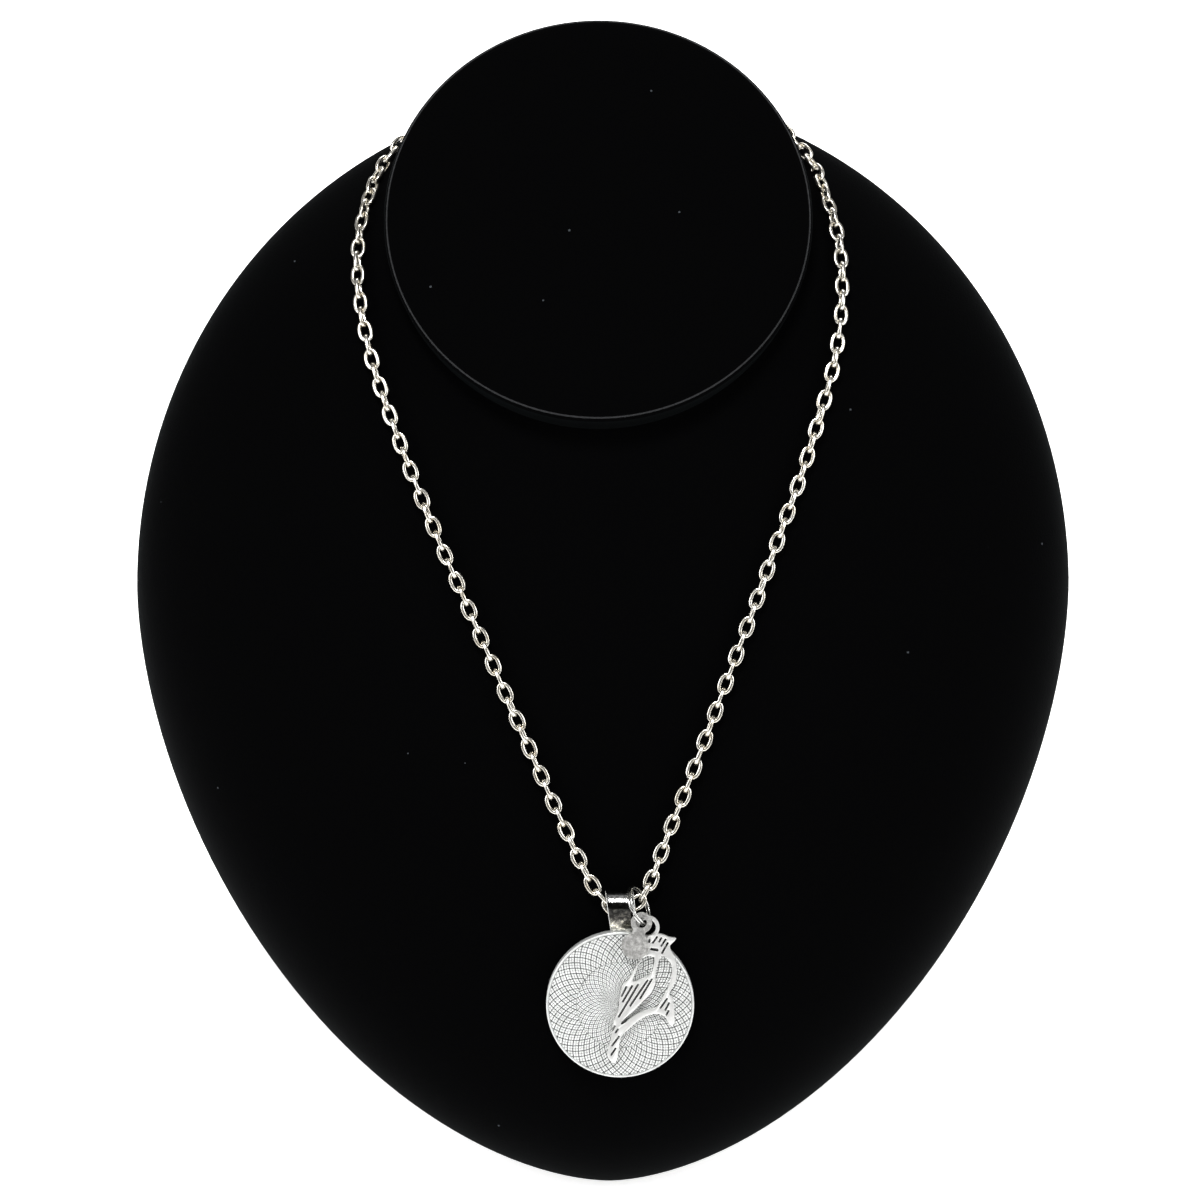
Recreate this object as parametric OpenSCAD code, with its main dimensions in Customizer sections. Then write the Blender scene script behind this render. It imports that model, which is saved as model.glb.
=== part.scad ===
/* [Neck bust] */
// Half the width of the chest at its widest line
chest_half_w = 89.8; // [80:0.1:100]
// Reach of the chest above its widest line
chest_up = 94.9; // [85:0.1:105]
// Reach of the pointed lower chest below its widest line
chest_down = 115.1; // [100:0.1:125]
// Roundness of the lower outline, where 2 is an ellipse and 1 a wedge
chest_point = 1.75; // [1.6:0.005:1.9]
// How far the padded chest bulges from its rim
chest_bulge = 32; // [28:0.5:36]
// Depth of the chest's side wall behind the rim
rim_depth = 6; // [4:0.5:8]
// Lean of the chest back from upright, in degrees
lean = 30; // [25:1:35]
// Radius of the neck at its flat face
neck_r = 40.7; // [38:0.1:42]
// Radius of the neck at its rear end
neck_rear_r = 37.4; // [36:0.1:38]
// Length of the neck behind its face
neck_len = 29; // [27:0.5:31]
// Tilt of the neck's face back from the chest, in degrees
neck_tilt = 18; // [16:1:20]
// Half the width of the flat back where it stands
back_half_w = 65; // [50:1:65]
// Height of the flat back
back_h = 165; // [140:1:165]

/* [Chain] */
// Outer length of one link
link_len = 4.35; // [4.3:0.05:4.4]
// Outer width of one link
link_w = 2.9; // [2.7:0.05:3.1]
// Width of the link's flattened wire, seen from its face
link_wire = 0.55; // [0.5:0.05:0.55]
// Thickness of the link's flattened wire, seen from its edge
link_flat = 0.55; // [0.4:0.05:0.6]
// Distance aimed at between the middles of two links
link_pitch = 2.86; // [2.8:0.01:2.88]
// Height of the chain's middle above the velvet
chain_lift = 1.65; // [1.6:0.05:2]

/* [Pendant] */
// Diameter of the round tray
disc_d = 27.9; // [26:0.1:30]
// Thickness of the tray at its rim
disc_t = 2.6; // [2.2:0.1:3]
// Diameter of the open recess in the tray's hidden front
tray_d = 25; // [22:0.1:25.4]
// Depth of that recess
tray_depth = 1.2; // [0.8:0.1:1.6]
// Tilt of the tray where it lies on the chest, in degrees
disc_tilt = 8.5; // [6:0.5:12]
// Height of the raised diamonds in the woven circle pattern
relief_h = 0.22; // [0.1:0.02:0.3]
// Number of circles woven in the inner field
inner_circles = 42; // [36:2:48]
// Number of circles woven in the outer field
outer_circles = 52; // [46:2:60]

/* [Bail] */
// Width of the bail's strip
bail_w = 5.3; // [5:0.1:5.6]
// Thickness of the strip
bail_t = 0.5; // [0.45:0.05:0.6]
// Outer radius of the bail's round top
bail_r = 2.72; // [2.7:0.01:2.8]
// How far the strip's top lies left of its foot
bail_lean = 1; // [0:0.1:1.4]

/* [Split ring] */
// Radius of the ring to the middle of its wire
ring_r = 3.7; // [3.6:0.05:3.8]
// Thickness of the ring's wire, which lies in two turns side by side
ring_wire = 0.42; // [0.36:0.02:0.44]
// Turn of the ring about the chest's upright line, in degrees
ring_turn = 68; // [64:1:72]

/* [Charms] */
// Diameter of the small blank tag
tag_d = 5.2; // [4.8:0.1:5.6]
// Diameter of the tag's ear
tag_ear_d = 4; // [3.9:0.1:4.2]
// Diameter of the hole in the tag's ear
tag_hole_d = 2; // [1.9:0.1:2.4]
// Thickness of the tag
tag_t = 0.6; // [0.5:0.05:0.7]
// Thickness of the openwork bird
bird_t = 0.9; // [0.7:0.05:0.95]
// Width of the slots in its wing, head and tail
slot_w = 0.36; // [0.2:0.02:0.4]

/* [Hidden] */

// The chest's own frame has u to the right, v up along the leaning chest and w out of it
bust_lift = chest_down * cos(lean);
bust_shift = 5;
back_y = 69.4;
chest_sides = 64;
chest_rings = [0.25, 0.45, 0.6, 0.72, 0.82, 0.9, 0.95, 0.985, 1];
neck_at = [0, 69.3, 26.5];
neck_out = [0, sin(neck_tilt), cos(neck_tilt)];
neck_up = [0, cos(neck_tilt), -sin(neck_tilt)];

module on_chest() {
    translate([0, bust_shift, bust_lift])
        rotate([90 - lean, 0, 0])
            children();
}

// Fullness of the bulge: a soft dome above, flatter towards the bottom
function fullness(v) = lookup(v, [[-50, 6], [10, 3]]);

// 0 at the middle of the chest and 1 on its outline
function reach(u, v) = v >= 0
    ? norm([u / chest_half_w, v / chest_up])
    : pow(pow(abs(u) / chest_half_w, chest_point) + pow(-v / chest_down, chest_point), 1 / chest_point);

function chest_height(u, v) = chest_bulge * sqrt(max(0, 1 - pow(reach(u, v), fullness(v))));

function signed_pow(x, p) = sign(x) * pow(abs(x), p);

// Point of the chest's outline at one angle
function outline_at(a) = a <= 180
    ? [chest_half_w * cos(a), chest_up * sin(a)]
    : [chest_half_w * signed_pow(cos(a), 2 / chest_point), chest_down * signed_pow(sin(a), 2 / chest_point)];

function outline(size) = [for (i = [0:chest_sides - 1]) outline_at(i * 360 / chest_sides) * size];

function on_bulge(p) = [p.x, p.y, chest_height(p.x, p.y)];

module chest() {
    n = chest_sides;
    dome = [for (size = chest_rings) for (p = outline(size)) size < 1 ? on_bulge(p) : [p.x, p.y, 0]];
    skirt = [for (p = outline(0.985)) [p.x, p.y, -rim_depth]];
    points = concat([[0, 0, chest_bulge]], dome, skirt);
    rings = len(chest_rings) + 1;
    top = [for (i = [0:n - 1]) [0, 1 + (i + 1) % n, 1 + i]];
    sides = [for (r = [0:rings - 2]) for (i = [0:n - 1])
        let (a = 1 + r * n + i, b = 1 + r * n + (i + 1) % n)
            each [[a, b, b + n], [a, b + n, a + n]]];
    rear = [[for (i = [0:n - 1]) 1 + (rings - 1) * n + i]];
    polyhedron(points, concat(top, sides, rear), convexity = 4);
}

module neck() {
    edge = 1;
    translate(neck_at)
        rotate([-neck_tilt, 0, 0]) {
            translate([0, 0, -neck_len])
                cylinder(h = neck_len - edge, r1 = neck_rear_r, r2 = neck_r, $fn = 96);
            translate([0, 0, -edge])
                cylinder(h = edge, r1 = neck_r, r2 = neck_r - edge, $fn = 96);
        }
}

// Closed back between the chest's rear, the neck's rear end and a flat upright back
module back_block() {
    slab = 0.5;
    sunk = 2;
    hull() {
        on_chest()
            translate([0, 0, -3])
                linear_extrude(slab)
                    polygon(outline(0.965));
        on_chest()
            translate(neck_at - (neck_len - sunk) * neck_out)
                rotate([-neck_tilt, 0, 0])
                    cylinder(h = slab, r = neck_rear_r - sunk, $fn = 32);
        translate([0, back_y, 0])
            rotate([90, 0, 0])
                linear_extrude(slab)
                    polygon([for (a = [0:7.5:180]) [back_half_w * cos(a), back_h * sin(a)]]);
        foot();
    }
}

// The chest's lower outline carried straight back to the level that the bust stands on
module foot() {
    slab = 0.5;
    last_y = 60;
    front = [for (a = [180:5:360]) let (p = 0.955 * outline_at(a))
        [p.x, bust_shift + (p.y + cos(lean) * bust_lift) / sin(lean)]];
    linear_extrude(slab)
        polygon([for (p = front) if (p.y < last_y) p]);
}

module neck_bust() {
    room = 300;
    color([0.05, 0.05, 0.06])
        difference() {
            union() {
                on_chest()
                    chest();
                on_chest()
                    neck();
                back_block();
            }
            translate([-room / 2, -room / 2, -room])
                cube(room);
        }
}

// Chain route from the bail upwards on each side, as [u, v] on the chest
route_left = [
    [0.64, -60.88], [-2.67, -56.88], [-7.2, -47.5], [-12.6, -35], [-18.9, -20], [-25.1, -5.3], [-31.3, 9.6],
    [-36, 21.6], [-40, 32.8], [-43.3, 43.4], [-45.3, 54], [-45.7, 64], [-43.9, 73.6]];
route_right = [
    [5.39, -60.44], [8.06, -56.72], [12, -46.6], [16.8, -35], [22.6, -20], [28.3, -5.3], [33.8, 9.6],
    [37.9, 20.6], [41.5, 31.6], [44.4, 42], [45.9, 52.6], [45.8, 62.6], [43.8, 71.9]];
bail_mid = [1.35, -61.37];
// Extra height of the chain's middle where the bail's rear leaf lies under it
bail_extra = 1.3;
// Where the chain passes over each shoulder, as [u, v, w]
shoulder_left = [-39.4, 82.8, 10];
shoulder_right = [39.7, 81.8, 10.6];
// Depth behind the neck's face at which the chain goes round
back_depth = 14.5;
// How far the chain stands off the neck behind it
back_slack = 0.75;
neck_wall_r = neck_r - (neck_r - neck_rear_r) * back_depth / neck_len;

function lifted(p, extra) = [p.x, p.y, chest_height(p.x, p.y) + chain_lift + extra];

function round_neck(a) = neck_at - back_depth * neck_out
    + (neck_wall_r + chain_lift + back_slack) * (cos(a) * [1, 0, 0] + sin(a) * neck_up);

function side_points(route, first) = [for (i = [0:len(route) - 1])
    lifted(route[i], bail_extra * lookup(i, [[0, first], [3, 0]]))];

function reversed(list) = [for (i = [len(list) - 1:-1:0]) list[i]];

// One way round, from the middle of the back over the left shoulder to the bail and up the right side
route = concat(
    [for (a = [76:14:132]) round_neck(a)],
    [shoulder_left],
    reversed(side_points(route_left, 1)),
    [lifted(bail_mid, bail_extra)],
    side_points(route_right, 1),
    [shoulder_right],
    [for (a = [48:14:104]) round_neck(a)]);

// Smooth curve through four neighbouring points
function curve_at(p, t) = 0.5 * (2 * p[1] + (p[2] - p[0]) * t
    + (2 * p[0] - 5 * p[1] + 4 * p[2] - p[3]) * t * t
    + (3 * p[1] - p[0] - 3 * p[2] + p[3]) * t * t * t);

curve_steps = 12;
function curve(points) = [for (i = [1:len(points) - 3]) for (s = [0:curve_steps - 1])
    curve_at([points[i - 1], points[i], points[i + 1], points[i + 2]], s / curve_steps)];

function running_sum(steps, i = 0, total = 0, sums = []) = i > len(steps)
    ? sums
    : running_sum(steps, i + 1, total + (i < len(steps) ? steps[i] : 0), concat(sums, [total]));

path = concat(curve(route), [route[len(route) - 2]]);
path_s = running_sum([for (i = [0:len(path) - 2]) norm(path[i + 1] - path[i])]);
path_u = [for (i = [0:len(path) - 1]) [path_s[i], path[i].x]];
path_v = [for (i = [0:len(path) - 1]) [path_s[i], path[i].y]];
path_w = [for (i = [0:len(path) - 1]) [path_s[i], path[i].z]];
path_len = path_s[len(path) - 1];

function path_at(s) = let (t = (s + path_len) % path_len)
    [lookup(t, path_u), lookup(t, path_v), lookup(t, path_w)];
function unit(v) = v / norm(v);

// Way out of the velvet under a point of the chain
function out_of_neck(p) = unit(p - neck_at - neck_out * ((p - neck_at) * neck_out));
function out_of_chest(p) = let (e = 0.5)
    unit([chest_height(p.x - e, p.y) - chest_height(p.x + e, p.y),
          chest_height(p.x, p.y - e) - chest_height(p.x, p.y + e), 2 * e]);
function out_of(p) = let (t = lookup(p.z, [[2, 0], [18, 1]]))
    unit(t * out_of_chest(p) + (1 - t) * out_of_neck(p));

// Clasp: a closed ring and a small eye, which the two end links pass through
clasp_r = 2.3;
clasp_wire = 1;
eye_r = 0.95;
eye_wire = 0.6;
eye_at = clasp_r + eye_r + 0.5;
play = 0.2;
link_reach = (link_len - link_wire) / 2;
ring_to_link = clasp_r - clasp_wire / 2 - play - link_wire / 2 + link_reach;
eye_to_link = eye_r - eye_wire / 2 - play - link_wire / 2 + link_reach;
clasp_room = ring_to_link + eye_at + eye_to_link;

// Where the chain bends in the bail its links crowd together, by this part of a space in all
crowded = 6;
squeezed = 0.52;

// An odd number of spaces, one link more for the bail, and both end links stand on edge at the clasp
spaces = 2 * floor((path_len - clasp_room) / link_pitch / 2) + 1;
links = spaces + 2;
pitch = (path_len - clasp_room) / (spaces + 1 - squeezed);
// The link that hangs face on at the left of the bail, an odd one, and its place along the path
marked_point = 4 + 1 + len(route_left) - 2;
marked_s = path_s[(marked_point - 1) * curve_steps + curve_steps];
marked_link = 2 * floor((marked_s / pitch - 1.9) / 2) + 1;
first_s = marked_s - marked_link * pitch;
crowd_from = marked_link + 1;
left_links = crowd_from + crowded / 2;
function link_s(i) = first_s + pitch * (i - squeezed * max(0, min(crowded, i - crowd_from)) / crowded);

// Rounded oval, a little fuller than an ellipse
link_sides = 16;
link_fullness = 2.3;
function oval(length, width) = [for (i = [0:link_sides - 1]) let (a = (i + 0.5) * 360 / link_sides)
    [length / 2 * signed_pow(cos(a), 2 / link_fullness), width / 2 * signed_pow(sin(a), 2 / link_fullness)]];

module oval_link() {
    n = link_sides;
    wall = 2 * link_wire;
    translate([0, 0, -link_flat / 2])
        linear_extrude(link_flat)
            polygon(
                concat(oval(link_len, link_w), oval(link_len - wall, link_w - wall)),
                [[for (i = [0:n - 1]) i], [for (i = [0:n - 1]) n + i]]);
}

// Places a piece at a length along the chain, x along it and z out of the velvet, turned about x
module along_chain(s, turn) {
    p = path_at(s);
    x = unit(path_at(s + 0.6) - path_at(s - 0.6));
    y = unit(cross(out_of(p), x));
    z = cross(x, y);
    multmatrix([[x.x, y.x, z.x, p.x], [x.y, y.y, z.y, p.y], [x.z, y.z, z.z, p.z], [0, 0, 0, 1]])
        rotate([turn, 0, 0])
            children();
}

module chain(from, to) {
    color([0.8, 0.79, 0.77])
        on_chest()
            for (i = [from:to])
                along_chain(link_s(i), 90 + 90 * i)
                    oval_link();
}

module chain_left() {
    chain(0, left_links - 1);
}

module chain_right() {
    chain(left_links, links - 1);
}

module wire_ring(r, wire) {
    rotate_extrude($fn = 96)
        translate([r, 0])
            circle(d = wire, $fn = 64);
}

module clasp() {
    color([0.78, 0.77, 0.75])
        on_chest()
            along_chain(first_s - clasp_room / 2, 0)
                translate([clasp_room / 2 - eye_to_link, 0, -0.12]) {
                    wire_ring(eye_r, eye_wire);
                    translate([-eye_at, 0, 0])
                        wire_ring(clasp_r, clasp_wire);
                }
}

// The pendant's frame lies on the tray's visible face, at its middle
disc_at = [2.2, -79.6, 33.4];
disc_r = disc_d / 2;
face_r = disc_r - 0.45;
seam_r = 0.588 * disc_r;
inner_d = 0.79 * disc_r;
outer_d = 1.22 * disc_r;

module on_pendant() {
    on_chest()
        translate(disc_at)
            rotate([disc_tilt, 0, 0])
                children();
}

// Circles through the middle cross on rings of this radius, where d is their diameter
function weave_r(d, n, j) = d * cos(j * 180 / n);

// One field of the weave: ring j holds n crossings, and each diamond between them rises to a point
module weave(d, n, first, last, outside, inside) {
    step = 360 / n;
    drop = -0.3;
    count = last - first + 1;
    function at(r, a, z) = [r * cos(a), r * sin(a), z];
    crossings = [for (j = [first:last]) for (k = [0:n - 1])
        at(weave_r(d, n, j), (k + j / 2) * step, 0)];
    peaks = [for (j = [first + 1:last - 1]) for (k = [0:n - 1])
        at(weave_r(d, n, j), (k + j / 2 + 0.5) * step, relief_h)];
    rims = [for (r = [outside, inside]) for (z = [0, drop]) for (k = [0:n - 1])
        at(r, (k + (r == outside ? first : last) / 2) * step, z)];
    points = concat(crossings, peaks, rims);
    twist = floor((last - first) / 2);
    peak0 = count * n;
    rim0 = peak0 + (count - 2) * n;
    function x(j, k) = (j - first) * n + (k + 2 * n) % n;
    function peak(j, k) = peak0 + (j - first - 1) * n + (k + 2 * n) % n;
    function rim(i, k) = rim0 + i * n + (k + 2 * n) % n;
    diamonds = [for (j = [first + 1:last - 1]) for (k = [0:n - 1])
        let (c = peak(j, k), a = x(j, k), b = x(j, k + 1), out = x(j - 1, k + 1), in = x(j + 1, k))
            each [[c, out, a], [c, b, out], [c, in, b], [c, a, in]]];
    edges = [for (k = [0:n - 1]) each [
        [x(first, k), x(first + 1, k), x(first, k + 1)],
        [x(last, k), x(last, k + 1), x(last - 1, k + 1)],
        [rim(0, k), x(first, k), x(first, k + 1), rim(0, k + 1)],
        [rim(2, k), rim(2, k + 1), x(last, k + 1), x(last, k)],
        [rim(0, k), rim(0, k + 1), rim(1, k + 1), rim(1, k)],
        [rim(2, k), rim(3, k), rim(3, k + 1), rim(2, k + 1)],
        [rim(1, k), rim(1, k + 1), rim(3, k + 1 - twist), rim(3, k - twist)]]];
    polyhedron(points, concat(diamonds, edges), convexity = 10);
}

module disc() {
    groove = 0.05;
    translate([0, 0, -disc_t])
        difference() {
            cylinder(h = disc_t, r = disc_r, $fn = 120);
            translate([0, 0, -1])
                cylinder(h = 1 + tray_depth, d = tray_d, $fn = 120);
        }
    translate([0, 0, groove]) {
        weave(outer_d, outer_circles, 11, 17, face_r, seam_r + 0.1);
        weave(inner_d, inner_circles, 10, 20, seam_r, 0.3);
    }
}

// Bail profile across its strip: a round top drawn down to a point at the tray's edge
bail_top = [-1.5, 18.85];
bail_foot = [-disc_t / 2, disc_r - 0.5];

module teardrop(r, top, foot) {
    down = foot - top;
    d = norm(down);
    a = atan2(down.y, down.x);
    b = acos(r / d);
    translate(top)
        circle(r = r, $fn = 96);
    polygon([foot, top + r * [cos(a - b), sin(a - b)], top + r * [cos(a + b), sin(a + b)]]);
}

// The strip stands askew: level at its top and foot, with both sides leaning to the left
module bail() {
    foot_x = 1.1;
    rise = bail_top.y + bail_r - bail_foot.y;
    slant = -bail_lean / rise;
    multmatrix([[1, slant, 0, foot_x - bail_foot.y * slant - bail_w / 2], [0, 1, 0, 0], [0, 0, 1, 0], [0, 0, 0, 1]])
        rotate([90, 0, 90])
            linear_extrude(bail_w)
                difference() {
                    teardrop(bail_r, [bail_top.y, bail_top.x], [bail_foot.y, bail_foot.x]);
                    teardrop(bail_r - bail_t, [bail_top.y, bail_top.x], [bail_foot.y + 1.3, bail_foot.x + 0.2]);
                }
}

module pendant() {
    color([0.82, 0.82, 0.8])
        on_pendant() {
            disc();
            bail();
        }
}

// Split ring: middle, in the chest's frame
ring_at = [6, -60.9, 35.6];
// Lean of the ring, its top to the left
ring_tip = -20;

module split_ring() {
    turn_gap = ring_wire * 0.92;
    color([0.75, 0.75, 0.74])
        on_chest()
            translate(ring_at)
                rotate([0, ring_turn, 0])
                    rotate([ring_tip, 0, 0])
                        for (side = [-0.5, 0.5])
                            translate([0, 0, side * turn_gap])
                                wire_ring(ring_r, ring_wire);
}

// Charms: places on the pendant's face, as [right, up, height of their rear side]
tag_at = [4.2, 16.05, 1.45];
tag_plate_at = [-1.25, -4.4];
tag_neck_w = 2.4;

module round_tag() {
    color([0.72, 0.72, 0.72])
        on_pendant()
            translate(tag_at)
                linear_extrude(tag_t)
                    difference() {
                        union() {
                            circle(d = tag_ear_d, $fn = 64);
                            translate(tag_plate_at)
                                circle(d = tag_d, $fn = 64);
                            slot([[0, 0], tag_plate_at], tag_neck_w);
                        }
                        circle(d = tag_hole_d, $fn = 64);
                    }
}

bird_rear = 0.42;
bird_outline = [
    [5.1, 13], [6.4, 13.7], [7.9, 13.7], [9.4, 13.1], [10.7, 12.8], [9.6, 11.6], [9.6, 10.8],
    [10.3, 9.4], [10.7, 7.7], [10.7, 5.5], [10.1, 3.9], [9.3, 2.2], [9.9, 1.4], [10.2, -1], [10.2, -3.2],
    [9.6, -3.9], [8.9, -3], [8.3, -2], [6.4, -1.5], [4.2, -2.3], [1.9, -4.1], [0.1, -6], [-0.4, -8.6],
    [-0.8, -10.4], [-1.5, -10.8], [-2.6, -9.4], [-1.9, -6.8], [-1.5, -4], [-0.8, -2], [-0.3, -0.6],
    [-0.1, 1.3], [0.5, 4], [1.6, 5], [3, 7.4], [4.4, 9.4], [5, 10.6]];
bird_front_gap = [[4.4, 9.2], [6.5, 9.3], [6.4, 7.7], [5.8, 6], [3.8, 5.1], [2.4, 4.9]];
bird_body_gap = [
    [7.9, 9.5], [9.3, 8.5], [9.9, 7], [9.3, 4], [8.2, 1.8], [7.1, -0.1], [6.3, -0.5], [3.4, -1.4],
    [0.5, -3.4], [0.3, -2.9], [2.4, -1], [4.3, 0.9], [6, 2.8], [6.7, 4.7], [6.8, 6.6]];
// Slots as [right, up] of both ends
bird_slots = [
    [[1.2, 3.7], [0.3, 2]], [[2.3, 3.9], [0.5, 0.9]], [[3.4, 4.1], [-0.3, -2]],
    [[5.2, 4.9], [1.9, 0.1]], [[6, 5.1], [3.8, 1.5]],
    [[5.7, 13.1], [5.6, 12.2]], [[7.1, 13.2], [6.3, 12.1]], [[7.9, 13], [7.5, 12.3]],
    [[8.7, 12.7], [7.9, 11.5]], [[9.1, 12], [8, 10.1]],
    [[-1.1, -3.8], [-1.6, -4.7]], [[-0.5, -4.4], [-0.9, -5]], [[-0.3, -5.8], [-1.6, -7.5]],
    [[-1, -8.1], [-1.8, -9.3]],
    [[8.8, 1.3], [7.6, -0.4]], [[9.2, 0.5], [8.5, -0.8]], [[9.1, -1], [8.7, -1.7]]];
bird_eye = [[6, 10.9], [7.1, 10.7]];
bird_loop = [5.35, 15];
bird_loop_d = 4.5;
bird_loop_hole = 3.1;

function smooth(points, steps = 3) = let (n = len(points))
    [for (i = [0:n - 1]) for (s = [0:steps - 1])
        curve_at([points[(i + n - 1) % n], points[i], points[(i + 1) % n], points[(i + 2) % n]], s / steps)];

module slot(ends, w) {
    way = ends[1] - ends[0];
    translate(ends[0])
        rotate([0, 0, atan2(way.y, way.x)]) {
            circle(d = w, $fn = 24);
            translate([norm(way), 0])
                circle(d = w, $fn = 24);
            translate([0, -w / 2])
                square([norm(way), w]);
        }
}

module bird_charm() {
    loop_t = 0.7;
    color([0.85, 0.85, 0.84])
        on_pendant()
            translate([0, 0, bird_rear]) {
                linear_extrude(bird_t)
                    difference() {
                        polygon(smooth(bird_outline));
                        polygon(smooth(bird_front_gap));
                        polygon(smooth(bird_body_gap));
                        for (ends = bird_slots)
                            slot(ends, slot_w);
                        slot(bird_eye, 0.5);
                    }
                linear_extrude(loop_t)
                    translate(bird_loop)
                        difference() {
                            circle(d = bird_loop_d, $fn = 64);
                            circle(d = bird_loop_hole, $fn = 64);
                        }
            }
}

neck_bust();
chain_left();
chain_right();
clasp();
pendant();
split_ring();
round_tag();
bird_charm();
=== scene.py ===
import math

import bmesh
import bpy
import numpy as np
from mathutils import Matrix, Vector
from mathutils.bvhtree import BVHTree

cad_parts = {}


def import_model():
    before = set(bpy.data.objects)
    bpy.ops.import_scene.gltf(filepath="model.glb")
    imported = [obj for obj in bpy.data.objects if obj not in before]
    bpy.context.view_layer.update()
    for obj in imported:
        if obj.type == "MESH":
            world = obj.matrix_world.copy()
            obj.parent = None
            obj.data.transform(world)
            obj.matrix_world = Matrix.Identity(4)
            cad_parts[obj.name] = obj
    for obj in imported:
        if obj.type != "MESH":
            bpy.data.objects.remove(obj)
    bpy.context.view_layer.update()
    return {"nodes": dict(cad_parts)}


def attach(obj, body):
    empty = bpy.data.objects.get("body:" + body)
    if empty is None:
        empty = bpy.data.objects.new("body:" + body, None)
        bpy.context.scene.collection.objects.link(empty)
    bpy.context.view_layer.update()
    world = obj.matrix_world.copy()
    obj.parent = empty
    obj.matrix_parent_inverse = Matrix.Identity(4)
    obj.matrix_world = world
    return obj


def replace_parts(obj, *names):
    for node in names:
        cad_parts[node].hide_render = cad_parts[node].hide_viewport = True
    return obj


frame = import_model()

rng = np.random.default_rng(11)
scene = bpy.context.scene
MM = 0.001
X = np.array([1.0, 0, 0])


def turn_x(deg):
    c, s = math.cos(math.radians(deg)), math.sin(math.radians(deg))
    return np.array([[1, 0, 0], [0, c, -s], [0, s, c]])


def turn_z(deg):
    c, s = math.cos(math.radians(deg)), math.sin(math.radians(deg))
    return np.array([[c, -s, 0], [s, c, 0], [0, 0, 1]])


def unit(v):
    return v / np.linalg.norm(v)


def signed_pow(x, p):
    return np.sign(x) * np.abs(x) ** p


def circle_angles(n):
    return np.arange(n) * 2 * math.pi / n


# The chest's own frame in mm: u to the right, v up along the chest, and the height out of it
LEAN_DEG = 30
LEAN = math.radians(LEAN_DEG)
CHEST_ROT = turn_x(90 - LEAN_DEG)
CHEST_HALF_W, CHEST_UP, CHEST_DOWN, CHEST_POINT, CHEST_BULGE = 89.8, 94.9, 115.1, 1.75, 32
CHEST_AT = np.array([0, 5.0, CHEST_DOWN * math.cos(LEAN)])
FULLNESS_V, FULLNESS = [-50, 10], [6, 3]
NECK_R, NECK_REAR_R, NECK_LEN = 40.7, 37.4, 29
NECK_AT = np.array([0, 69.3, 26.5])
NECK_TILT = math.radians(18)
NECK_OUT = np.array([0, math.sin(NECK_TILT), math.cos(NECK_TILT)])
NECK_UP = np.array([0, math.cos(NECK_TILT), -math.sin(NECK_TILT)])


def world(p):
    """Points of the chest's frame in mm as points of the scene in metres."""
    return (np.asarray(p, float) @ CHEST_ROT.T + CHEST_AT) * MM


def fullness(v):
    """How full the bulge is, most at the chest's point."""
    return np.interp(v, FULLNESS_V, FULLNESS)


def reach(u, v):
    """0 in the chest's middle and 1 on its outline."""
    above = np.hypot(u / CHEST_HALF_W, v / CHEST_UP)
    across, down = np.abs(u) / CHEST_HALF_W, np.abs(v) / CHEST_DOWN
    below = (across ** CHEST_POINT + down ** CHEST_POINT) ** (1 / CHEST_POINT)
    return np.where(v >= 0, above, below)


def chest_height(u, v):
    return CHEST_BULGE * np.sqrt(np.maximum(0, 1 - reach(u, v) ** fullness(v)))


def height_at(u, v):
    """The chest's height at one point."""
    return float(chest_height(np.float64(u), np.float64(v)))


def outline(a):
    """The chest's outline at the angles a."""
    c, s = np.cos(a), np.sin(a)
    up = s >= 0
    x = np.where(up, CHEST_HALF_W * c, CHEST_HALF_W * signed_pow(c, 2 / CHEST_POINT))
    y = np.where(up, CHEST_UP * s, CHEST_DOWN * signed_pow(s, 2 / CHEST_POINT))
    return np.stack([x, y], 1)


def neck_point(r, a, depth):
    """Points round the neck's axis, at a depth behind its face."""
    way = np.cos(a)[..., None] * X + np.sin(a)[..., None] * NECK_UP
    return NECK_AT - depth * NECK_OUT + r[..., None] * way


# Meshes
def new_object(name, data):
    ob = bpy.data.objects.new(name, data)
    scene.collection.objects.link(ob)
    return ob


def add_mesh(name, verts, faces, materials, face_mats):
    me = bpy.data.meshes.new(name)
    me.from_pydata([tuple(map(float, v)) for v in verts], [], [tuple(map(int, f)) for f in faces])
    for m in materials:
        me.materials.append(m)
    me.validate()
    me.update()
    me.polygons.foreach_set("use_smooth", [True] * len(me.polygons))
    me.polygons.foreach_set("material_index", list(map(int, face_mats)))
    return new_object(name, me)


class Build:
    """Gathers vertices and faces of several closed forms for one mesh."""

    def __init__(self):
        self.verts, self.faces, self.mats = [], [], []
        self.n = 0

    def add(self, verts, faces, mat=0):
        verts = np.asarray(verts, float)
        self.verts.append(verts)
        self.faces += [tuple(int(i) + self.n for i in f) for f in faces]
        self.mats += list(mat) if isinstance(mat, (list, np.ndarray)) else [mat] * len(faces)
        self.n += len(verts)

    def object(self, name, materials):
        verts = world(np.concatenate(self.verts))
        verts[:, 2] = np.maximum(verts[:, 2], 0)
        return add_mesh(name, verts, self.faces, materials, self.mats)


def built(name, form, materials):
    """The object that a form's function gathers."""
    b = Build()
    form(b)
    return b.object(name, materials)


def grid_faces(rows, cols, wrap_rows=False):
    """Four-sided faces between rows of points that close on themselves."""
    out = []
    for i in range(rows if wrap_rows else rows - 1):
        for j in range(cols):
            a, b = i * cols + j, i * cols + (j + 1) % cols
            c, d = ((i + 1) % rows) * cols + (j + 1) % cols, ((i + 1) % rows) * cols + j
            out.append((a, b, c, d))
    return out


def row_face(row, n):
    """One face over a whole row of n points."""
    return tuple(row * n + j for j in range(n))


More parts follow.
